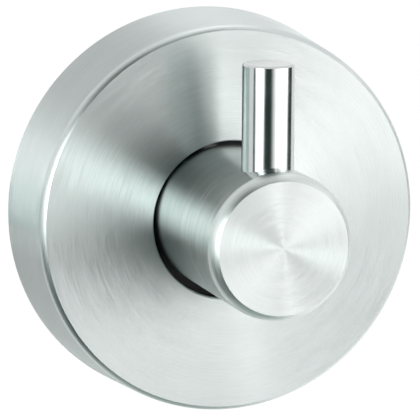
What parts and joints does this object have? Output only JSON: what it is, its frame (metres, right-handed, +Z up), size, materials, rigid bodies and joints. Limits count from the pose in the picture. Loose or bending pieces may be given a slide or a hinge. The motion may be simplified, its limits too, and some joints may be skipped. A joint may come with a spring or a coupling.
{
  "type": "coat hook",
  "caption": "Wall coat hook: a round steel post with an upright polished pin, standing out of a round satin cover rose that hides a screwed wall plate.",
  "frame": {"origin": "centre of the wall plate's back face, on the post's axis, in the plane of the wall", "axes": "+Y points into the wall, the hook stands out along -Y, +Z is up along the hook pin"},
  "size_m": [0.056, 0.0374, 0.056],
  "materials": {
    "rose_satin_steel": "satin, turned in fine circles",
    "post_satin_steel": "satin, turned in fine circles",
    "pin_polished_steel": "mirror polished",
    "plate_steel": "blackened, as turned",
    "screw_steel": "plain"
  },
  "bodies": {
    "root": {"wall_plate": "plate_steel", "post": "post_satin_steel", "post_screw": "screw_steel", "hook_pin": "pin_polished_steel", "cover_rose": "rose_satin_steel", "rose_set_screw": "screw_steel"}
  },
  "joints": []
}
